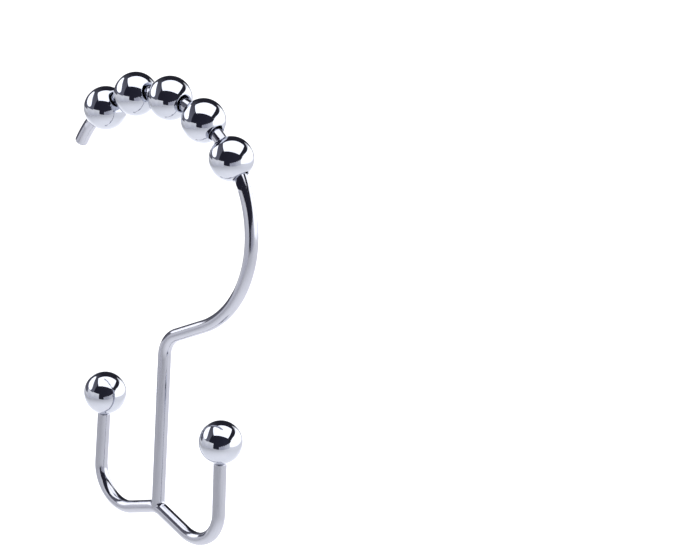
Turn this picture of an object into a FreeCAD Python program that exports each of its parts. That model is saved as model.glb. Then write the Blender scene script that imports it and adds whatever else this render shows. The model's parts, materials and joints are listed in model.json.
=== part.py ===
import FreeCAD, Part
import math
import os

# Shower curtain hook: roller balls on an arc of wire at the top, a double hook below.
# Millimetres and degrees. +X points into the room, +Y across the hook's own plane, +Z up.
# The origin lies on the axis of the round seat under the rollers, where the hook hangs.

# Stock, and the diameter that the seat fits
rod_diameter = 25.4
wire_diameter = 3.2
ball_diameter = 10.4

# Crown: the arc of wire over the seat, with the rollers strung along it
crown_radius = 31.8
roller_count = 5
front_roller_angle = 44.5
roller_pitch_angle = 21.3
bore_clearance = 0.15
bore_chamfer = 0.25

# Rest of the hanger wire, along its centreline
bow_radius = 26.4
under_rod_slope = 27.4
shoulder_radius = 7.2
stem_forward = 2.7
tail_length = 13.5
tail_edge_round = 0.7

# Crimps that keep the rollers on the crown
crimp_overlap = 0.1
crimp_thickness = 0.8
crimp_gap = 0.35
crimp_edge_round = 0.25

# Double hook wire, along its centreline
crest_drop = 82.7
crest_radius = 6.0
arm_slope = 19.7
prong_bend_radius = 8.45
prong_lean = 1.6
foot_seat_height = 0.5

# Balls on the prongs, each pressed on a spigot turned on the prong's end
tip_spacing = 40.4
tip_drop = 59.6
tip_bore_depth = 6.4
spigot_diameter = 2.0
spigot_shoulder_round = 0.25

wire_radius = wire_diameter / 2
ball_radius = ball_diameter / 2
spigot_radius = spigot_diameter / 2
UP = FreeCAD.Vector(0, 0, 1)
DOWN = FreeCAD.Vector(0, 0, -1)


def at(x, z):
    """A point in the hook's own plane."""
    return FreeCAD.Vector(x, 0, z)


def heading(angle):
    """A unit vector in the hook's plane, turned up from +X by an angle in degrees."""
    return at(math.cos(math.radians(angle)), math.sin(math.radians(angle)))


# The middle roller touches the seat's circle, and the crown is centred in line with both
back_roller_angle = front_roller_angle + roller_pitch_angle * (roller_count - 1)
middle_roller_angle = (front_roller_angle + back_roller_angle) / 2

# The wire bends within a roller's length, so it sits midway in a bore wider than itself
bore_sag = crown_radius - math.sqrt(crown_radius ** 2 - ball_radius ** 2)
bore_radius = wire_radius + bore_sag / 2 + bore_clearance
bore_half_length = math.sqrt(ball_radius ** 2 - bore_radius ** 2)
roller_ring_radius = crown_radius - bore_sag / 2

crown_centre = heading(middle_roller_angle) * (rod_diameter / 2 + ball_radius - roller_ring_radius)
bow_centre = crown_centre + heading(front_roller_angle) * (crown_radius - bow_radius)

# Both arms fall away from one corner, which the crest rounds off under the stem
crest_point = at(stem_forward, -crest_drop)
crest_corner = crest_point + UP * crest_radius * (1 / math.cos(math.radians(arm_slope)) - 1)
front_fall = heading(-arm_slope)
back_fall = heading(180 + arm_slope)

# Each prong leans in towards the stem and ends in a shoulder against its ball
front_tip = at(stem_forward + tip_spacing / 2, -tip_drop)
back_tip = at(stem_forward - tip_spacing / 2, -tip_drop)
front_down = heading(-90 + prong_lean)
back_down = heading(-90 - prong_lean)
shoulder_drop = math.sqrt(ball_radius ** 2 - (spigot_radius + bore_chamfer) ** 2)


def run(start, end):
    """A straight run of wire."""
    return Part.LineSegment(start, end).toShape()


def bend(centre, radius, start_angle, end_angle):
    """A bend of the wire about a centre."""
    angles = (start_angle, (start_angle + end_angle) / 2, end_angle)
    start, middle, end = [centre + heading(angle) * radius for angle in angles]
    return Part.Arc(start, middle, end).toShape()


def corner_bend(corner, heading_in, heading_out, radius):
    """The bend that rounds a corner between two straight runs, and its two ends."""
    half_turn = heading_in.getAngle(heading_out) / 2
    setback = radius * math.tan(half_turn)
    start = corner - heading_in * setback
    end = corner + heading_out * setback
    inward = (heading_out - heading_in).normalize()
    middle = corner + inward * radius * (1 / math.cos(half_turn) - 1)
    return start, Part.Arc(start, middle, end).toShape(), end


def arm_corner(tip, down, fall):
    """The corner where the line of a prong meets the line of its arm."""
    reach = (tip - crest_corner).cross(down).y / fall.cross(down).y
    return crest_corner + fall * reach


def round_wire(edges):
    """Round stock drawn along a chain of tangent runs and bends."""
    path = Part.Wire(edges)
    first = path.OrderedEdges[0]
    start = first.valueAt(first.FirstParameter)
    section = Part.Circle(start, first.tangentAt(first.FirstParameter), wire_radius)
    return path.makePipe(Part.Face(Part.Wire(section.toShape())))


def hanger_path():
    """The hanger's centreline, from its free end at the back to the foot of the stem."""
    tail_angle = back_roller_angle + math.degrees(tail_length / crown_radius)
    bow_end_angle = under_rod_slope - 90
    bow_end = bow_centre + heading(bow_end_angle) * bow_radius
    inward = heading(180 + under_rod_slope)
    corner = bow_end + inward * ((bow_end.x - stem_forward) / -inward.x)
    slope_end, shoulder, stem_top = corner_bend(corner, inward, DOWN, shoulder_radius)
    return [
        bend(crown_centre, crown_radius, tail_angle, front_roller_angle),
        bend(bow_centre, bow_radius, front_roller_angle, bow_end_angle),
        run(bow_end, slope_end),
        shoulder,
        run(stem_top, crest_point),
    ]


def double_hook_path():
    """The double hook's centreline, from the front prong's shoulder to the back one's."""
    front_corner = arm_corner(front_tip, front_down, front_fall)
    back_corner = arm_corner(back_tip, back_down, back_fall)
    front_foot, front_bend, front_arm = corner_bend(
        front_corner, front_down, front_fall * -1, prong_bend_radius)
    crest_front, crest, crest_back = corner_bend(
        crest_corner, front_fall * -1, back_fall, crest_radius)
    back_arm, back_bend, back_foot = corner_bend(
        back_corner, back_fall, back_down * -1, prong_bend_radius)
    return [
        run(front_tip + front_down * shoulder_drop, front_foot),
        front_bend,
        run(front_arm, crest_front),
        crest,
        run(crest_back, back_arm),
        back_bend,
        run(back_foot, back_tip + back_down * shoulder_drop),
    ]


def crimp(centre, along):
    """A coin pinched out of the wire: its rim stands out at both sides, past the rollers' bore."""
    outward = along.cross(FreeCAD.Vector(0, 1, 0))
    rim_radius = bore_radius + crimp_overlap
    base = centre - outward * (crimp_thickness / 2)
    coin = Part.makeCylinder(rim_radius, crimp_thickness, base, outward)
    rims = [edge for edge in coin.Edges if isinstance(edge.Curve, Part.Circle)]
    return coin.makeFillet(crimp_edge_round, rims)


def roller_crimps():
    """The two crimps, one just past each end of the row of rollers."""
    rim_half_width = math.sqrt((bore_radius + crimp_overlap) ** 2 - wire_radius ** 2)
    reach = bore_half_length + crimp_gap + rim_half_width
    front_angle = front_roller_angle - math.degrees(reach / bow_radius)
    back_angle = back_roller_angle + math.degrees(reach / crown_radius)
    return [
        crimp(bow_centre + heading(front_angle) * bow_radius, heading(front_angle + 90)),
        crimp(crown_centre + heading(back_angle) * crown_radius, heading(back_angle + 90)),
    ]


def ball(centre, bore_direction, bore, bore_depth):
    """A polished ball with a bore drilled in from one side, its mouth chamfered."""
    drilled = Part.makeSphere(ball_radius)
    mouth = math.sqrt(ball_radius ** 2 - (bore + bore_chamfer) ** 2)
    floor = ball_radius - bore_depth
    drilled = drilled.cut(Part.makeCylinder(bore, ball_diameter, at(0, floor)))
    countersink = Part.makeCone(bore, bore + ball_radius, ball_radius, at(0, mouth - bore_chamfer))
    drilled = drilled.cut(countersink)
    drilled.Placement = FreeCAD.Placement(centre, FreeCAD.Rotation(UP, bore_direction))
    return drilled


def roller(angle):
    """A ball with a through bore, strung on the crown so that it can turn about the wire."""
    centre = crown_centre + heading(angle) * roller_ring_radius
    along = heading(angle + 90)
    front_half = ball(centre, along, bore_radius, ball_diameter)
    back_half = ball(centre, along * -1, bore_radius, ball_diameter)
    return front_half.common(back_half)


def spigot(tip, down):
    """The turned end of a prong, which fills the blind bore of its ball."""
    length = shoulder_drop + tip_bore_depth - ball_radius
    return Part.makeCylinder(spigot_radius, length, tip + down * shoulder_drop, down * -1)


def double_hook_wire():
    """The wire across the stem's foot, each prong's end turned to a round shoulder and a spigot."""
    wire = round_wire(double_hook_path())
    ends = sorted(wire.Faces, key=lambda face: face.CenterOfMass.z)[-2:]
    wire = wire.makeFillet(spigot_shoulder_round, [edge for end in ends for edge in end.Edges])
    return wire.fuse(spigot(front_tip, front_down)).fuse(spigot(back_tip, back_down))


def hanger_wire(crossing_wire):
    """The hanger, its foot notched to sit on the crest of the wire that it is welded to."""
    wire = round_wire(hanger_path())
    tail_face = min(wire.Faces, key=lambda face: face.CenterOfMass.x)
    wire = wire.makeFillet(tail_edge_round, tail_face.Edges)
    for coin in roller_crimps():
        wire = wire.fuse(coin)
    below_seat = Part.makeBox(
        ball_diameter, ball_diameter, ball_diameter,
        crest_point + FreeCAD.Vector(-ball_radius, -ball_radius, foot_seat_height - ball_diameter))
    return wire.cut(below_seat).cut(crossing_wire).removeSplitter()


def build_hook():
    nodes = {}
    nodes["double_hook_wire"] = double_hook_wire()
    nodes["hanger_wire"] = hanger_wire(nodes["double_hook_wire"])
    nodes["front_tip_ball"] = ball(front_tip, front_down, spigot_radius, tip_bore_depth)
    nodes["back_tip_ball"] = ball(back_tip, back_down, spigot_radius, tip_bore_depth)
    for number in range(roller_count):
        angle = front_roller_angle + roller_pitch_angle * number
        nodes["roller_ball_%d" % (number + 1)] = roller(angle)
    return nodes


os.makedirs("parts", exist_ok=True)
for name, shape in build_hook().items():
    shape.exportStep("parts/%s.step" % name)
    print(name, "valid", shape.isValid(), "solids", len(shape.Solids), "volume", round(shape.Volume, 2))
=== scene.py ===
import json
import math

import bmesh
import bpy
from mathutils import Euler, Matrix, Vector


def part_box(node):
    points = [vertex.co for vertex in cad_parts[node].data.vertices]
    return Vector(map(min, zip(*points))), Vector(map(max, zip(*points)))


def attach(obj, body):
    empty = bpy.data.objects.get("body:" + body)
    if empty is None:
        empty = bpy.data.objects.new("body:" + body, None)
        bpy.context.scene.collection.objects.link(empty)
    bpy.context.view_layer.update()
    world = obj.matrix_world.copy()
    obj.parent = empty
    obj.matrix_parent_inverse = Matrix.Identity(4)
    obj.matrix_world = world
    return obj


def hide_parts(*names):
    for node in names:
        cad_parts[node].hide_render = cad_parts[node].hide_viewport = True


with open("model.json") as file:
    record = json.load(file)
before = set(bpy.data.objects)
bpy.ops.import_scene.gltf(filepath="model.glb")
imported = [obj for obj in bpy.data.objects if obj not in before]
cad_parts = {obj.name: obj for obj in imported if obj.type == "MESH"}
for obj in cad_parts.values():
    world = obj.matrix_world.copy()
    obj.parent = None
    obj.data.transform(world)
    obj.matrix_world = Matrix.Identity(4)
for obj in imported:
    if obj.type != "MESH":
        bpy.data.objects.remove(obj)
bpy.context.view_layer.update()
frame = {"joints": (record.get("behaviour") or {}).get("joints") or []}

# Shower curtain hook of bent steel wire with steel balls, all under bright chrome plate.
# Blender counts in metres, so a millimetre has a name. Angles are in degrees.
MM = 0.001

# The hanger wire's bends from its free end: crown, bow, slope under the crown, shoulder, stem
ROD_RADIUS = 12.7 * MM
CROWN_RADIUS = 31.8 * MM
BOW_RADIUS = 26.4 * MM
UNDER_ROD_SLOPE = 27.4
SHOULDER_RADIUS = 7.2 * MM
TAIL_LENGTH = 13.5 * MM
TAIL_EDGE_ROUND = 0.7 * MM

# The double hook wire's bends, from its crest under the stem out to its two prongs
CREST_DROP = 82.7 * MM
CREST_RADIUS = 6.0 * MM
ARM_SLOPE = 19.7
PRONG_BEND_RADIUS = 8.45 * MM
PRONG_LEAN = 1.6

# Spigots turned on the prongs' ends, which the balls are pressed on
SPIGOT_RADIUS = 1.0 * MM
SPIGOT_SHOULDER_ROUND = 0.25 * MM
TIP_BORE_DEPTH = 6.4 * MM

# Rollers, their bores and the crimps that keep them on
FRONT_ROLLER_ANGLE = 44.5
ROLLER_PITCH_ANGLE = 21.3
ROLLER_COUNT = 5
BORE_CLEARANCE = 0.15 * MM
BORE_CHAMFER = 0.25 * MM
MOUTH_ROUND = 0.05 * MM
CRIMP_OVERLAP = 0.1 * MM
CRIMP_GAP = 0.35 * MM
CRIMP_HALF_ANGLE = 20.0

# The weld where the stem stands on the double hook
WELD_FILLET = 0.7 * MM
WELD_MARGIN = 0.14 * MM
WELD_SUNK = 0.03 * MM

# A mirror finish shows every facet, so the meshes are fine. The wire is a hair thinner than the
# solid that it stands for, which keeps it within that solid's box.
WIRE_SIDES = 56
WIRE_STEP = 0.42 * MM
SHORT_FEED = 0.1 * MM
BALL_SEGMENTS = 96
BALL_RINGS = 60
MOUTH_SEGMENTS = 3
WITHIN_BOX = 0.002 * MM
SHARP_ANGLE = 35
QUARTER_TURN = [math.radians(angle) for angle in range(0, 91, 15)]

# The cap that comes off a ball for its bore is a little wider than the mouth, and points that
# are nearer than SAME_PLACE to a line count as on it
CAP_MARGIN = 1.04
SAME_PLACE = 0.002 * MM

AXIS_Y = Vector((0, 1, 0))
UP = Vector((0, 0, 1))
DOWN = Vector((0, 0, -1))

# Sizes that the frame gives
wire_low, wire_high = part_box("double_hook_wire")
WIRE_RADIUS = (wire_high[1] - wire_low[1]) / 2 - WITHIN_BOX
ball_low, ball_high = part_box("front_tip_ball")
BALL_RADIUS = (ball_high[1] - ball_low[1]) / 2
back_low, back_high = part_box("back_tip_ball")
front_tip = Vector(((ball_low[0] + ball_high[0]) / 2, 0, ball_high[2] - BALL_RADIUS))
back_tip = Vector(((back_low[0] + back_high[0]) / 2, 0, back_high[2] - BALL_RADIUS))
STEM_FORWARD = (front_tip.x + back_tip.x) / 2


def heading(angle):
    """A unit vector in the hook's own plane, turned up from +X by an angle."""
    return Vector((math.cos(math.radians(angle)), 0, math.sin(math.radians(angle))))


# The wire bends within a roller's length, so it sits midway in a bore wider than itself
BACK_ROLLER_ANGLE = FRONT_ROLLER_ANGLE + ROLLER_PITCH_ANGLE * (ROLLER_COUNT - 1)
BORE_SAG = CROWN_RADIUS - math.sqrt(CROWN_RADIUS ** 2 - BALL_RADIUS ** 2)
BORE_RADIUS = WIRE_RADIUS + BORE_SAG / 2 + BORE_CLEARANCE
MIDDLE_ROLLER = heading((FRONT_ROLLER_ANGLE + BACK_ROLLER_ANGLE) / 2)
CROWN_CENTRE = MIDDLE_ROLLER * (ROD_RADIUS + BALL_RADIUS - CROWN_RADIUS + BORE_SAG / 2)
BOW_CENTRE = CROWN_CENTRE + heading(FRONT_ROLLER_ANGLE) * (CROWN_RADIUS - BOW_RADIUS)
CREST_POINT = Vector((STEM_FORWARD, 0, -CREST_DROP))
SHOULDER_DROP = math.sqrt(BALL_RADIUS ** 2 - (SPIGOT_RADIUS + BORE_CHAMFER) ** 2)
SPIGOT_LENGTH = SHOULDER_DROP + TIP_BORE_DEPTH - BALL_RADIUS

# Sizes of what shows in the finish: haze and waves on a polished ball, and on the drawn wire
# the die's scratches and the marks of bending, both longer than wide
HAZE_PATCH = 4.55 * MM
BUFFED_WAVE = 3.33 * MM
BUFFED_WAVE_HEIGHT = 0.006 * MM
SCRATCH_WIDTH = 0.417 * MM
SCRATCH_LENGTH = 6.95 * MM
BENT_WAVE_WIDTH = 1.11 * MM
BENT_WAVE_LENGTH = 7.4 * MM
BENT_WAVE_HEIGHT = 0.012 * MM


def linear(hex_colour):
    """The linear colour of an sRGB hex value."""
    levels = [int(hex_colour[i:i + 2], 16) / 255 for i in (1, 3, 5)]
    return [v / 12.92 if v <= 0.04045 else ((v + 0.055) / 1.055) ** 2.4 for v in levels] + [1.0]


def add_node(tree, kind, settings=None, links=None):
    """One node with its settings and values, and with the sockets that feed it."""
    node = tree.nodes.new(kind)
    for name, value in (settings or {}).items():
        if isinstance(name, str) and hasattr(node, name):
            setattr(node, name, value)
        else:
            node.inputs[name].default_value = value
    for name, socket in (links or {}).items():
        tree.links.new(socket, node.inputs[name])
    return node


def blank_material(name):
    """A new material with an empty node tree."""
    material = bpy.data.materials.new(name)
    material.use_nodes = True
    material.node_tree.nodes.clear()
    return material, material.node_tree


def plate_with_chrome(tree, haze, haze_range, roughness, tints, waves, wave_height):
    """Bright chrome plate, a cold mirror. Haze dulls and darkens it a little, and the waves of the
    steel under it show."""
    rough = add_node(tree, "ShaderNodeMapRange",
                     {"From Min": haze_range[0], "From Max": haze_range[1],
                      "To Min": roughness[0], "To Max": roughness[1]},
                     {"Value": haze.outputs["Fac"]})
    tint = add_node(tree, "ShaderNodeMix",
                    {"data_type": "RGBA", 6: linear(tints[0]), 7: linear(tints[1])},
                    {0: haze.outputs["Fac"]})
    relief = add_node(tree, "ShaderNodeBump", {"Strength": 1.0, "Distance": wave_height},
                      {"Height": waves.outputs["Fac"]})
    shader = add_node(tree, "ShaderNodeBsdfPrincipled", {"Metallic": 1.0},
                      {"Base Color": tint.outputs[2], "Roughness": rough.outputs["Result"],
                       "Normal": relief.outputs["Normal"]})
    add_node(tree, "ShaderNodeOutputMaterial", {}, {"Surface": shader.outputs["BSDF"]})


def chromed_ball():
    """Bright chrome over a polished steel ball: a sharp mirror. Buffing left it a hair wavy, and
    handling left a soft haze in patches."""
    material, tree = blank_material("chromed_ball")
    place = add_node(tree, "ShaderNodeTexCoord").outputs["Object"]
    haze = add_node(tree, "ShaderNodeTexNoise", {"Scale": 1 / HAZE_PATCH, "Detail": 3.0},
                    {"Vector": place})
    waves = add_node(tree, "ShaderNodeTexNoise", {"Scale": 1 / BUFFED_WAVE, "Detail": 1.0},
                     {"Vector": place})
    plate_with_chrome(tree, haze, haze_range=(0.35, 0.75), roughness=(0.025, 0.07),
                      tints=("#CDD0DA", "#C0C4D0"), waves=waves, wave_height=BUFFED_WAVE_HEIGHT)
    return material


def chromed_wire():
    """Bright chrome over drawn steel wire: the die's long scratches lie under the plate and smear
    what it mirrors along the wire, and bending left it a little uneven."""
    material, tree = blank_material("chromed_wire")
    unbent = add_node(tree, "ShaderNodeAttribute",
                      {"attribute_name": "unbent_mm"}).outputs["Vector"]
    drawn = add_node(tree, "ShaderNodeMapping",
                     {"Scale": (1, 1, SCRATCH_WIDTH / SCRATCH_LENGTH)}, {"Vector": unbent})
    scratches = add_node(tree, "ShaderNodeTexNoise", {"Scale": MM / SCRATCH_WIDTH, "Detail": 4.0},
                         {"Vector": drawn.outputs["Vector"]})
    bent = add_node(tree, "ShaderNodeMapping",
                    {"Scale": (1, 1, BENT_WAVE_WIDTH / BENT_WAVE_LENGTH)}, {"Vector": unbent})
    waves = add_node(tree, "ShaderNodeTexNoise", {"Scale": MM / BENT_WAVE_WIDTH, "Detail": 1.0},
                     {"Vector": bent.outputs["Vector"]})
    plate_with_chrome(tree, scratches, haze_range=(0.3, 0.7), roughness=(0.07, 0.15),
                      tints=("#C6C8D2", "#B6B8C4"), waves=waves, wave_height=BENT_WAVE_HEIGHT)
    return material


def choose(piece):
    """Selects one piece and nothing else."""
    bpy.ops.object.select_all(action="DESELECT")
    piece.select_set(True)
    bpy.context.view_layer.objects.active = piece


def edit(piece):
    """Opens one piece in edit mode."""
    choose(piece)
    bpy.ops.object.mode_set(mode="EDIT")
    bpy.ops.mesh.select_mode(type="VERT")


def open_mesh(piece):
    mesh = bmesh.from_edit_mesh(piece.data)
    mesh.verts.ensure_lookup_table()
    return mesh


def pick(piece, wanted):
    """Selects the vertices that pass a test, and all that lies between them."""
    bpy.ops.mesh.select_all(action="DESELECT")
    mesh = open_mesh(piece)
    for vertex in mesh.verts:
        vertex.select_set(wanted(vertex))
    mesh.select_flush(True)
    bmesh.update_edit_mesh(piece.data)


def feed(move):
    """Extrudes what is selected and moves it on."""
    bpy.ops.mesh.extrude_region_move(TRANSFORM_OT_translate={"value": move})


def face_outwards():
    """Turns all faces of the piece in edit mode outwards."""
    bpy.ops.mesh.select_all(action="SELECT")
    bpy.ops.mesh.normals_make_consistent(inside=False)


def dress(piece, material, body, node):
    """Gives a finished piece its smooth surface, finish and body, and hides the node that it stands
    for.
    """
    bpy.ops.object.mode_set(mode="OBJECT")
    choose(piece)
    bpy.ops.object.transform_apply(location=True, rotation=True, scale=True)
    bpy.ops.object.shade_smooth_by_angle(angle=math.radians(SHARP_ANGLE))
    piece.data.materials.append(material)
    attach(piece, body)
    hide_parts(node)


def start_wire(name, start, angle, radius):
    """The free end of a round wire, ready to be fed on in edit mode."""
    bpy.ops.object.select_all(action="DESELECT")
    bpy.ops.mesh.primitive_circle_add(
        vertices=WIRE_SIDES, radius=radius, location=start,
        rotation=UP.rotation_difference(heading(angle)).to_euler())
    wire = bpy.context.active_object
    wire.name = name
    bpy.ops.object.transform_apply(location=True, rotation=True)
    edit(wire)
    bpy.ops.mesh.select_all(action="SELECT")
    return wire


def across_wire(angle):
    """The axes of a section across the wire: in the hook's plane, along Y, and along the wire."""
    return Matrix((heading(angle - 90), AXIS_Y, heading(angle))).transposed()


def turn_down(place, angle, radius, profile):
    """Feeds the wire on as through a lathe: each step is a length and the radius it ends with."""
    for length, next_radius in profile:
        feed(heading(angle) * length)
        place = place + heading(angle) * length
        grown = next_radius / radius
        bpy.ops.transform.resize(value=(grown, grown, 1), center_override=place,
                                 orient_matrix=across_wire(angle), orient_matrix_type="GLOBAL")
        radius = next_radius
    return place


def rounded_edge(edge_round, at_start):
    """The steps of a rounded edge at the start or the end of the wire's full thickness."""
    places = []
    for turned in QUARTER_TURN:
        along = edge_round * (1 - math.cos(turned))
        places.append((along, WIRE_RADIUS - edge_round * (1 - math.sin(turned))))
    if not at_start:
        places = [(edge_round - along, radius) for along, radius in reversed(places)]
    return [(along - last, radius) for (last, _), (along, radius) in zip(places, places[1:])]


def bend_wire(wire, place, angle, moves):
    """Feeds and bends a wire as on a bench: each move is a length to feed, the angle to turn
    after it, and the radius to turn on. Gives the place and heading that it ends with. A straight
    run starts and ends with a short feed, so that its shading is straight too."""
    for length, turn, radius in moves:
        if length:
            for fed in (SHORT_FEED, length - 2 * SHORT_FEED, SHORT_FEED):
                feed(heading(angle) * fed)
            place = place + heading(angle) * length
        if turn:
            inward = math.copysign(90, turn)
            centre = place + heading(angle + inward) * radius
            steps = math.ceil(math.radians(abs(turn)) * radius / WIRE_STEP)
            bpy.ops.mesh.spin(steps=steps, angle=math.radians(turn), center=centre, axis=AXIS_Y)
            angle += turn
            place = centre - heading(angle + inward) * radius
    return place, angle


def rings_of(wire):
    """The rings of vertices that a wire grew by, from its first end to its last, and their mesh,
    which has to be kept for as long as they are used."""
    mesh = open_mesh(wire)
    count = len(mesh.verts)
    return mesh, [mesh.verts[first:first + WIRE_SIDES] for first in range(0, count, WIRE_SIDES)]


def middle(ring):
    return sum((vertex.co for vertex in ring), Vector()) / len(ring)


def note_unbent_places(wire):
    """Notes where each point lay on the straight wire, in millimetres, for the drawn streaks."""
    mesh = open_mesh(wire)
    unbent = mesh.verts.layers.float_vector.new("unbent_mm")
    mesh, rings = rings_of(wire)
    along = 0.0
    last = middle(rings[0])
    for ring in rings:
        along += (middle(ring) - last).length
        last = middle(ring)
        for number, vertex in enumerate(ring):
            turn = 2 * math.pi * number / WIRE_SIDES
            across = Vector((math.cos(turn), math.sin(turn), 0)) * WIRE_RADIUS
            vertex[unbent] = (across + UP * along) / MM
    bmesh.update_edit_mesh(wire.data)


def crimp_wire(wire, spot):
    """Pinches an ear out of each side of the wire: the sides are drawn out along Y to the arc of
    the coin's rim, and the ear rounds off towards the wire's top and bottom."""
    rim = BORE_RADIUS + CRIMP_OVERLAP
    side_angle = 360 / WIRE_SIDES
    mesh, rings = rings_of(wire)
    near = [number for number, ring in enumerate(rings) if (middle(ring) - spot).length < rim]
    for number in near:
        for step in range(math.ceil(CRIMP_HALF_ANGLE / side_angle)):
            mesh, rings = rings_of(wire)
            ring = rings[number]
            centre = middle(ring)
            drawn_out = math.sqrt(rim ** 2 - (centre - spot).length_squared) / WIRE_RADIUS - 1
            if drawn_out <= 0:
                break
            round_wire = side_angle * step
            share = math.cos(math.pi / 2 * round_wire / CRIMP_HALF_ANGLE) ** 2
            y = WIRE_RADIUS * math.cos(math.radians(round_wire))
            chosen = set(vertex.index for vertex in ring if abs(abs(vertex.co.y) - y) < SAME_PLACE)
            pick(wire, lambda vertex: vertex.index in chosen)
            bpy.ops.transform.resize(value=(1, 1 + drawn_out * share, 1), center_override=centre)


def close_ends(wire):
    """Caps both ends of a wire and turns all faces outwards."""
    mesh = open_mesh(wire)
    last = len(mesh.verts) - WIRE_SIDES
    pick(wire, lambda vertex: vertex.index < WIRE_SIDES)
    bpy.ops.mesh.edge_face_add()
    pick(wire, lambda vertex: vertex.index >= last)
    bpy.ops.mesh.edge_face_add()
    face_outwards()


def weld_foot(wire):
    """Flares the stem's foot over the crest that it is welded to, with the weld's small fillet."""
    crest_centre = CREST_POINT + DOWN * CREST_RADIUS
    mesh, rings = rings_of(wire)
    foot = [vertex.co.copy() for vertex in rings[-1]]
    for turned in QUARTER_TURN:
        feed((0, 0, 0))
        flare = 1 + WELD_FILLET * (1 - math.cos(turned)) / WIRE_RADIUS
        raised = WELD_FILLET * (1 - math.sin(turned)) - WELD_SUNK
        mesh, rings = rings_of(wire)
        for vertex, start in zip(rings[-1], foot):
            x = (start.x - STEM_FORWARD) * flare
            to_surface = CREST_RADIUS + math.sqrt(max(WIRE_RADIUS ** 2 - start.y ** 2, 0))
            surface = crest_centre.z + math.sqrt(to_surface ** 2 - x ** 2)
            vertex.co = Vector((STEM_FORWARD + x, start.y, surface + raised))
        bmesh.update_edit_mesh(wire.data)


def make_hanger_wire(material):
    """The hanger from its free end at the back: crown, bow, slope, shoulder, stem and weld."""
    tail_angle = BACK_ROLLER_ANGLE + math.degrees(TAIL_LENGTH / CROWN_RADIUS)
    bow_end_angle = UNDER_ROD_SLOPE - 90
    bow_end = BOW_CENTRE + heading(bow_end_angle) * BOW_RADIUS
    shoulder_turn = 90 - UNDER_ROD_SLOPE
    setback = SHOULDER_RADIUS * math.tan(math.radians(shoulder_turn / 2))
    slope_length = (bow_end.x - STEM_FORWARD) / math.cos(math.radians(UNDER_ROD_SLOPE)) - setback

    # The rounded edge takes up the first of the crown's arc
    first_bent = tail_angle - math.degrees(TAIL_EDGE_ROUND / CROWN_RADIUS)
    angle = first_bent - 90
    start = CROWN_CENTRE + heading(first_bent) * CROWN_RADIUS - heading(angle) * TAIL_EDGE_ROUND
    flat = WIRE_RADIUS - TAIL_EDGE_ROUND
    wire = start_wire("hanger_wire_plated", start, angle, flat)
    place = turn_down(start, angle, flat, rounded_edge(TAIL_EDGE_ROUND, at_start=True))
    place, angle = bend_wire(wire, place, angle, [
        (0, FRONT_ROLLER_ANGLE - first_bent, CROWN_RADIUS),
        (0, bow_end_angle - FRONT_ROLLER_ANGLE, BOW_RADIUS),
        (slope_length, shoulder_turn, SHOULDER_RADIUS),
    ])
    weld_top = CREST_POINT.z + WIRE_RADIUS + WELD_FILLET + WELD_MARGIN
    bend_wire(wire, place, angle, [(place.z - weld_top, 0, 0)])
    weld_foot(wire)
    note_unbent_places(wire)

    rim_half_width = math.sqrt((BORE_RADIUS + CRIMP_OVERLAP) ** 2 - WIRE_RADIUS ** 2)
    reach = math.sqrt(BALL_RADIUS ** 2 - BORE_RADIUS ** 2) + CRIMP_GAP + rim_half_width
    front = FRONT_ROLLER_ANGLE - math.degrees(reach / BOW_RADIUS)
    back = BACK_ROLLER_ANGLE + math.degrees(reach / CROWN_RADIUS)
    crimp_wire(wire, BOW_CENTRE + heading(front) * BOW_RADIUS)
    crimp_wire(wire, CROWN_CENTRE + heading(back) * CROWN_RADIUS)
    close_ends(wire)
    dress(wire, material, "hook", "hanger_wire")


def make_double_hook_wire(material):
    """The wire across the stem's foot: prong, arm, crest, arm, prong, with a spigot at each end."""
    slope = math.radians(ARM_SLOPE)
    crest_corner = CREST_POINT + UP * CREST_RADIUS * (1 / math.cos(slope) - 1)
    down = heading(-90 + PRONG_LEAN)
    fall = heading(-ARM_SLOPE)
    to_tip = front_tip - crest_corner
    arm_reach = to_tip.cross(down).y / fall.cross(down).y
    prong_reach = (fall * arm_reach - to_tip).dot(down)
    corner_turn = 90 + ARM_SLOPE + PRONG_LEAN
    setback = PRONG_BEND_RADIUS * math.tan(math.radians(corner_turn / 2))
    prong_length = prong_reach - SHOULDER_DROP - SPIGOT_SHOULDER_ROUND - setback
    arm_length = arm_reach - setback - CREST_RADIUS * math.tan(slope)

    angle = -90 + PRONG_LEAN
    flat = WIRE_RADIUS - SPIGOT_SHOULDER_ROUND
    start = front_tip + down * (SHOULDER_DROP - SPIGOT_LENGTH)
    wire = start_wire("double_hook_wire_plated", start, angle, SPIGOT_RADIUS)
    front_shoulder = rounded_edge(SPIGOT_SHOULDER_ROUND, at_start=True)
    place = turn_down(start, angle, SPIGOT_RADIUS,
                      [(SPIGOT_LENGTH, SPIGOT_RADIUS), (0, flat)] + front_shoulder)
    place, angle = bend_wire(wire, place, angle, [
        (prong_length, -corner_turn, PRONG_BEND_RADIUS),
        (arm_length, 2 * ARM_SLOPE, CREST_RADIUS),
        (arm_length, -corner_turn, PRONG_BEND_RADIUS),
        (prong_length, 0, 0),
    ])
    back_shoulder = rounded_edge(SPIGOT_SHOULDER_ROUND, at_start=False)
    turn_down(place, angle, WIRE_RADIUS,
              back_shoulder + [(0, SPIGOT_RADIUS), (SPIGOT_LENGTH, SPIGOT_RADIUS)])
    note_unbent_places(wire)
    close_ends(wire)
    dress(wire, material, "hook", "double_hook_wire")


def start_ball(name):
    """A polished ball, its poles on the axis that will be drilled."""
    bpy.ops.object.select_all(action="DESELECT")
    bpy.ops.mesh.primitive_uv_sphere_add(segments=BALL_SEGMENTS, ring_count=BALL_RINGS,
                                         radius=BALL_RADIUS, location=(0, 0, 0))
    ball = bpy.context.active_object
    ball.name = name
    edit(ball)
    return ball


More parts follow.
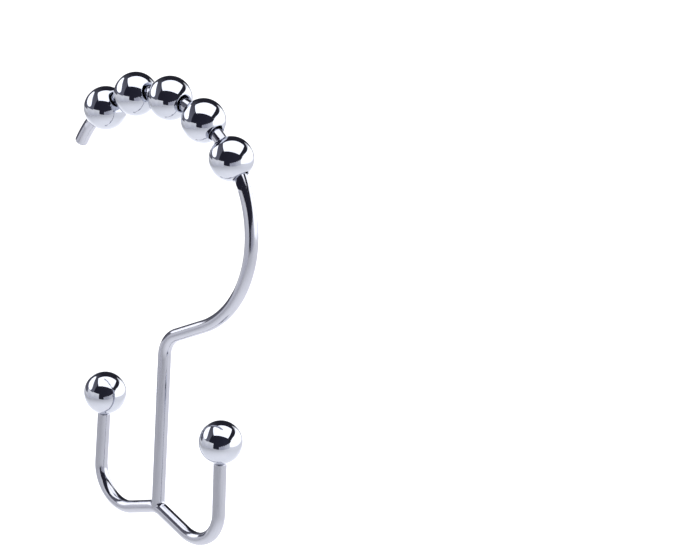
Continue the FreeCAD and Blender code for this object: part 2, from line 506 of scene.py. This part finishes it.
def mouth_of(bore):
    """The radius of a drilled mouth's outer edge, and its height on the ball."""
    mouth = bore + BORE_CHAMFER
    return mouth, math.sqrt(BALL_RADIUS ** 2 - mouth ** 2)


def drill(ball, side, bore, depth=0):
    """Drills from the top (side 1) or the bottom (side -1): the cap goes, the rim is drawn in to
    the chamfer and the bore, and a blind bore is fed down to its depth and closed."""
    mouth, rim = mouth_of(bore)
    pick(ball, lambda vertex: vertex.co.z * side > 0 and vertex.co.xy.length < mouth * CAP_MARGIN)
    bpy.ops.mesh.delete(type="VERT")
    pick(ball, lambda vertex: vertex.is_boundary and vertex.co.z * side > 0)
    mesh = open_mesh(ball)
    cut = next(vertex.co.copy() for vertex in mesh.verts if vertex.select)
    radius = cut.xy.length
    height = cut.z
    for next_radius, next_height in ((mouth, rim * side), (bore, (rim - BORE_CHAMFER) * side)):
        feed((0, 0, next_height - height))
        grown = next_radius / radius
        bpy.ops.transform.resize(value=(grown, grown, 1), center_override=(0, 0, 0))
        radius = next_radius
        height = next_height
    if depth:
        feed((0, 0, (BALL_RADIUS - depth) * side - height))
        bpy.ops.mesh.edge_face_add()


def round_mouth(ball, bore):
    """Takes the sharp edge off the drilled mouths, as tumbling does."""
    mouth, rim = mouth_of(bore)
    pick(ball, lambda vertex: abs(vertex.co.xy.length - mouth) < SAME_PLACE
         and abs(abs(vertex.co.z) - rim) < SAME_PLACE)
    bpy.ops.mesh.bevel(offset=MOUTH_ROUND, segments=MOUTH_SEGMENTS, affect="EDGES")
    face_outwards()


def make_rollers(material):
    """The balls on the crown, drilled through, one for each joint of the frame."""
    pattern = start_ball("roller_pattern")
    drill(pattern, 1, BORE_RADIUS)
    drill(pattern, -1, BORE_RADIUS)
    pick(pattern, lambda vertex: vertex.is_boundary)
    bpy.ops.mesh.bridge_edge_loops()
    round_mouth(pattern, BORE_RADIUS)
    bpy.ops.object.mode_set(mode="OBJECT")
    for joint in frame["joints"]:
        number = joint["name"].split("_")[1]
        roller = pattern.copy()
        roller.data = pattern.data.copy()
        roller.name = "roller_ball_%s_plated" % number
        bpy.context.collection.objects.link(roller)
        roller.location = joint["pos_m"]
        roller.rotation_euler = UP.rotation_difference(Vector(joint["axis"])).to_euler()
        dress(roller, material, "roller_" + number, "roller_ball_" + number)
    bpy.data.objects.remove(pattern)


def make_tip_balls(material):
    """The balls that end the two prongs, each pressed on its spigot."""
    for node, centre, lean in (("front_tip_ball", front_tip, PRONG_LEAN),
                               ("back_tip_ball", back_tip, -PRONG_LEAN)):
        ball = start_ball(node + "_plated")
        drill(ball, -1, SPIGOT_RADIUS, TIP_BORE_DEPTH)
        round_mouth(ball, SPIGOT_RADIUS)
        ball.location = centre
        ball.rotation_euler = DOWN.rotation_difference(heading(-90 + lean)).to_euler()
        dress(ball, material, "hook", node)


ball_finish = chromed_ball()
wire_finish = chromed_wire()
make_hanger_wire(wire_finish)
make_double_hook_wire(wire_finish)
make_rollers(ball_finish)
make_tip_balls(ball_finish)


# Studio: a pale floor in a white world, and cloths that the chrome alone mirrors. The cloths glow,
# and the floor glows besides its lamplight, both painted light that no lamp gives. A black screen
# round the camera gives the dark half of the chrome, with a pale apron under its right half. A grey
# room stands behind it, with openings, and a white card stands near the hook on the left.
CAMERA_AZIMUTH = 43.08
CAMERA_PLACE = Vector((458.4, -429.1, 182.7)) * MM
CAMERA_AIM = Vector((57.177, 0, -9.078)) * MM
CAMERA_ROLL = 3.577
LENS_MM = 150
SENSOR_WIDTH_MM = 36
FLOOR_HEIGHT = -0.36
FLOOR_FRONT = 0.92
FLOOR_BACK = 3.4
FLOOR_HALF_WIDTH = 2.4
FLOOR_FIBRE = 25 * MM
CLOTH_NAP = 200 * MM
ROOM_RADIUS = 2.0
SCREEN_RADIUS = 1.7
APRON_RADIUS = 1.5
CARD_RADIUS = 0.37
WORLD_LIGHT = 0.25
OVERHEAD_FORWARD = 0.056
OVERHEAD_LEFT = 0.02
OVERHEAD_HEIGHT = 0.9
OVERHEAD_TURNS = (8.8, 13.3, CAMERA_AZIMUTH)

# Where the cloths hang and where the room is open, seen from the hook: sides are counted round
# from the camera to its right, and heights up from the horizon
CLOTH_FACE_ANGLE = 3
BACK_OPENING_SIDES = (150, 202)
BACK_OPENING_TOP = 3
RIGHT_OPENING_SIDES = (45, 151)
RIGHT_OPENING_FOOT = -14
BEAM_HEIGHT = 28
BEAM_RISE = 0.65
BEAM_DROP = 23
SCREEN_SIDES = (-62, 47)
SCREEN_HEIGHTS = (-40, 62)
APRON_SIDES = (-5, 50)
APRON_FOOT = -40
APRON_RISE = 0.3
APRON_DROP = 6
CARD_SIDES = (-105, -30)
CARD_FOOT = -27
CARD_STEP_SIDE = -66
CARD_STEP_DROP = 3

CAMERA_TURN = math.radians(CAMERA_AZIMUTH)
TO_CAMERA = Vector((math.sin(CAMERA_TURN), -math.cos(CAMERA_TURN), 0))
TO_RIGHT = Vector((math.cos(CAMERA_TURN), math.sin(CAMERA_TURN), 0))


def seen_light(tree):
    """1 for what the camera sees, straight, mirrored or through glass, and 0 for other light."""
    path = add_node(tree, "ShaderNodeLightPath")
    mirrored = add_node(tree, "ShaderNodeMath", {"operation": "MAXIMUM"},
                        {0: path.outputs["Is Camera Ray"], 1: path.outputs["Is Glossy Ray"]})
    seen = add_node(tree, "ShaderNodeMath", {"operation": "MAXIMUM"},
                    {0: mirrored.outputs["Value"], 1: path.outputs["Is Transmission Ray"]})
    return seen.outputs["Value"]


def towards(tree, place, direction, nearest, furthest, low=0.0, high=1.0):
    """A value that grows across the set in one direction, between two distances in metres."""
    reach = add_node(tree, "ShaderNodeVectorMath", {"operation": "DOT_PRODUCT", 1: direction},
                     {0: place})
    grown = add_node(tree, "ShaderNodeMapRange",
                     {"From Min": nearest, "From Max": furthest, "To Min": low, "To Max": high},
                     {"Value": reach.outputs["Value"]})
    return grown.outputs["Result"]


def pale_card():
    """Matt white card, which keeps the hook's soft shadow. Painted light: for the eye and the chrome
    it glows, though no lamp lights it, to white in a pool behind the hook, and weakly beneath the
    hook, at the far left and towards the right."""
    material, tree = blank_material("pale_card")
    place = add_node(tree, "ShaderNodeTexCoord").outputs["Object"]
    to_right = towards(tree, place, TO_RIGHT, nearest=-0.9, furthest=0.9, low=0.02, high=0.42)
    far_left = towards(tree, place, TO_RIGHT, nearest=-1.2, furthest=-0.65, low=0.55, high=0.0)
    sides = add_node(tree, "ShaderNodeMath", {"operation": "ADD"}, {0: to_right, 1: far_left})
    spot = add_node(tree, "ShaderNodeVectorMath", {"operation": "MULTIPLY", 1: (1, 1, 0)},
                    {0: place})
    away = add_node(tree, "ShaderNodeVectorMath", {"operation": "LENGTH"},
                    {0: spot.outputs["Vector"]})
    beneath = add_node(tree, "ShaderNodeMapRange",
                       {"From Min": 0.2, "From Max": 0.6, "To Min": 0.24, "To Max": 0.0},
                       {"Value": away.outputs["Value"]})
    around = add_node(tree, "ShaderNodeMath", {"operation": "ADD"},
                      {0: sides.outputs["Value"], 1: beneath.outputs["Result"]})

    behind = towards(tree, place, TO_CAMERA * -1, nearest=0.1, furthest=0.55)
    left_edge = towards(tree, place, TO_RIGHT, nearest=-0.6, furthest=-0.35)
    right_edge = towards(tree, place, TO_RIGHT, nearest=0.6, furthest=0.35)
    between = add_node(tree, "ShaderNodeMath", {"operation": "MULTIPLY"},
                       {0: left_edge, 1: right_edge})
    pool = add_node(tree, "ShaderNodeMath", {"operation": "MULTIPLY"},
                    {0: behind, 1: between.outputs["Value"]})
    # Painted light: the card glows nearly white in a painted pool behind the hook and more weakly
    # around it, a glow that no lamp gives
    painted_glow = add_node(tree, "ShaderNodeMix", {"data_type": "FLOAT", 3: 0.95},
                   {0: pool.outputs["Value"], 2: around.outputs["Value"]})
    strength = add_node(tree, "ShaderNodeMath", {"operation": "MULTIPLY"},
                        {0: painted_glow.outputs[0], 1: seen_light(tree)})

    fibre = add_node(tree, "ShaderNodeTexNoise", {"Scale": 1 / FLOOR_FIBRE, "Detail": 4.0},
                     {"Vector": place})
    tint = add_node(tree, "ShaderNodeMix",
                    {"data_type": "RGBA", 6: linear("#F0F0F2"), 7: linear("#E7E7EA")},
                    {0: fibre.outputs["Fac"]})
    shader = add_node(tree, "ShaderNodeBsdfPrincipled",
                      {"Roughness": 0.9, "Emission Color": linear("#FFFFFF")},
                      {"Base Color": tint.outputs[2], "Emission Strength": strength.outputs["Value"]})
    add_node(tree, "ShaderNodeOutputMaterial", {}, {"Surface": shader.outputs["BSDF"]})
    return material


def set_cloth(name, near_hex, far_hex, direction, nearest, furthest):
    """Cloth that chrome mirrors, glowing with painted light that no lamp gives: its tone grades from
    near to far in one direction, a painted falloff of light, with its nap's slight cloudiness.
    """
    material, tree = blank_material(name)
    place = add_node(tree, "ShaderNodeTexCoord").outputs["Object"]
    # Painted light: the glowing tone is graded between the near and far colours, as light would fall
    # across the cloth
    tone = add_node(tree, "ShaderNodeMix",
                    {"data_type": "RGBA", 6: linear(near_hex), 7: linear(far_hex)},
                    {0: towards(tree, place, direction, nearest, furthest)})
    nap = add_node(tree, "ShaderNodeTexNoise", {"Scale": 1 / CLOTH_NAP, "Detail": 4.0},
                   {"Vector": place})
    cloudy = add_node(tree, "ShaderNodeMapRange", {"To Min": 0.75, "To Max": 1.25},
                      {"Value": nap.outputs["Fac"]})
    glow = add_node(tree, "ShaderNodeEmission", {},
                    {"Color": tone.outputs[2], "Strength": cloudy.outputs["Result"]})
    add_node(tree, "ShaderNodeOutputMaterial", {}, {"Surface": glow.outputs["Emission"]})
    return material


def make_floor():
    bpy.ops.object.select_all(action="DESELECT")
    middle_back = (FLOOR_FRONT - FLOOR_BACK) / 2
    bpy.ops.mesh.primitive_plane_add(
        size=1, location=TO_CAMERA * middle_back + UP * FLOOR_HEIGHT, rotation=(0, 0, CAMERA_TURN))
    floor = bpy.context.active_object
    floor.name = "floor"
    floor.scale = (FLOOR_HALF_WIDTH * 2, FLOOR_FRONT + FLOOR_BACK, 1)
    bpy.ops.object.transform_apply(location=True, rotation=True, scale=True)
    floor.data.materials.append(pale_card())


def hang_cloth(name, radius, hangs, material):
    """Cloth hung round the set, seen by chrome alone. A test on the side and the height says
    where it hangs."""
    bpy.ops.object.select_all(action="DESELECT")
    bpy.ops.mesh.primitive_uv_sphere_add(segments=360 // CLOTH_FACE_ANGLE,
                                         ring_count=180 // CLOTH_FACE_ANGLE, radius=radius)
    cloth = bpy.context.active_object
    cloth.name = name
    edit(cloth)
    bpy.ops.mesh.select_mode(type="FACE")
    bpy.ops.mesh.select_all(action="DESELECT")
    mesh = bmesh.from_edit_mesh(cloth.data)
    for face in mesh.faces:
        out = face.calc_center_median().normalized()
        height = math.degrees(math.asin(out.z))
        side = math.degrees(math.atan2(out.dot(TO_RIGHT), out.dot(TO_CAMERA)))
        face.select_set(not hangs(side, height))
    bmesh.update_edit_mesh(cloth.data)
    bpy.ops.mesh.delete(type="FACE")
    bpy.ops.object.mode_set(mode="OBJECT")
    cloth.data.materials.append(material)
    cloth.visible_camera = False
    cloth.visible_diffuse = False
    cloth.visible_shadow = False


def inside(angle, limits):
    return limits[0] < angle < limits[1]


def room_hangs(side, height):
    """The grey room, open to the white low at the back, and on the right below a dark beam that
    comes down towards the camera."""
    at_back = inside(side % 360, BACK_OPENING_SIDES) and height < BACK_OPENING_TOP
    beam = min(BEAM_HEIGHT, BEAM_RISE * side - BEAM_DROP)
    on_right = inside(side, RIGHT_OPENING_SIDES) and RIGHT_OPENING_FOOT < height < beam
    return not (at_back or on_right)


def screen_hangs(side, height):
    return inside(side, SCREEN_SIDES) and inside(height, SCREEN_HEIGHTS)


def apron_hangs(side, height):
    """Pale cloth under the black screen's right half, its upper edge rising to the right."""
    return inside(side, APRON_SIDES) and APRON_FOOT < height < APRON_RISE * side - APRON_DROP


def card_stands(side, height):
    """White card near the hook, on the left of the camera, a little lower at its far end."""
    top = 0 if side > CARD_STEP_SIDE else -CARD_STEP_DROP
    return inside(side, CARD_SIDES) and CARD_FOOT < height < top


def add_softbox(name, shape, place, facing, width, tall, brightness):
    """A soft box of some shape. Its brightness is that of its own face, where white card is 1."""
    light = bpy.data.lights.new(name, "AREA")
    light.shape = shape
    light.size = width
    light.size_y = tall
    face = width * tall * (1 if shape == "RECTANGLE" else math.pi / 4)
    light.energy = brightness * math.pi * face
    softbox = bpy.data.objects.new(name, light)
    bpy.context.collection.objects.link(softbox)
    softbox.location = place
    softbox.rotation_euler = facing.to_euler()
    softbox.visible_camera = False


def stand_softbox(name, shape, side, height, distance, width, tall, brightness, tilt=0):
    """A soft box that stands beside the hook and faces it, seen at two angles from there."""
    turned = math.radians(side)
    raised = math.radians(height)
    out = (TO_CAMERA * math.cos(turned) + TO_RIGHT * math.sin(turned)) * math.cos(raised)
    out += UP * math.sin(raised)
    facing = out.to_track_quat("Z", "Y").to_matrix() @ Matrix.Rotation(math.radians(tilt), 3, "Z")
    add_softbox(name, shape, out * distance, facing, width, tall, brightness)


def light_hook():
    """A wide soft box overhead, which faces a little to the left and back, a round one near on
    the left, and a long one on the right."""
    overhead = TO_CAMERA * OVERHEAD_FORWARD - TO_RIGHT * OVERHEAD_LEFT + UP * OVERHEAD_HEIGHT
    facing = Euler([math.radians(angle) for angle in OVERHEAD_TURNS]).to_matrix()
    add_softbox("overhead_softbox", "RECTANGLE", overhead, facing,
                width=1.59, tall=1.21, brightness=1.8)
    stand_softbox("round_softbox", "ELLIPSE", side=-112, height=18, distance=0.55,
                  width=0.62, tall=0.3, brightness=1.8, tilt=-16)
    stand_softbox("right_softbox", "RECTANGLE", side=98, height=7, distance=1.55,
                  width=3.4, tall=1.1, brightness=1.0)


def light_world():
    """A white world: white where it is seen, with less light for the set."""
    world = bpy.data.worlds.new("white_room")
    bpy.context.scene.world = world
    world.use_nodes = True
    tree = world.node_tree
    tree.nodes.clear()
    strength = add_node(tree, "ShaderNodeMapRange", {"To Min": WORLD_LIGHT, "To Max": 1.0},
                        {"Value": seen_light(tree)})
    white = add_node(tree, "ShaderNodeBackground", {"Color": linear("#FFFFFF")},
                     {"Strength": strength.outputs["Result"]})
    add_node(tree, "ShaderNodeOutputWorld", {}, {"Surface": white.outputs["Background"]})


def set_camera():
    """The photograph's own view: a long lens, a little above and to the front right."""
    camera = bpy.data.objects.new("camera", bpy.data.cameras.new("camera"))
    bpy.context.collection.objects.link(camera)
    camera.data.sensor_width = SENSOR_WIDTH_MM
    camera.data.lens = LENS_MM
    camera.location = CAMERA_PLACE
    look = (CAMERA_AIM - CAMERA_PLACE).to_track_quat("-Z", "Y").to_matrix()
    roll = Matrix.Rotation(math.radians(CAMERA_ROLL), 3, "Z")
    camera.rotation_euler = (look @ roll).to_euler()
    bpy.context.scene.camera = camera


def hang_cloths():
    """Hangs the room, the screen, the apron and the card, each glowing with painted light, a tone or
    two graded in one direction.
    """
    # Painted light: the grey room lightens to the left, the black screen a shade and the apron much
    # to the right, and the white card towards its top, as light would fall on them
    grey = set_cloth("grey_cloth", "#2C2C34", "#74747E", TO_RIGHT * -1, nearest=0.5, furthest=1.8)
    black = set_cloth("black_velvet", "#2A2A35", "#31313D", TO_RIGHT, nearest=-1.0, furthest=1.0)
    pale = set_cloth("apron_cloth", "#BCBCC6", "#F0F0F4", TO_RIGHT, nearest=0.4, furthest=1.1)
    white = set_cloth("white_card", "#DEDEE6", "#FFFFFF", UP, nearest=-0.17, furthest=-0.03)
    hang_cloth("grey_room", ROOM_RADIUS, room_hangs, grey)
    hang_cloth("black_screen", SCREEN_RADIUS, screen_hangs, black)
    hang_cloth("pale_apron", APRON_RADIUS, apron_hangs, pale)
    hang_cloth("near_card", CARD_RADIUS, card_stands, white)


make_floor()
hang_cloths()
light_hook()
light_world()
set_camera()
bpy.context.scene.view_settings.view_transform = "Standard"
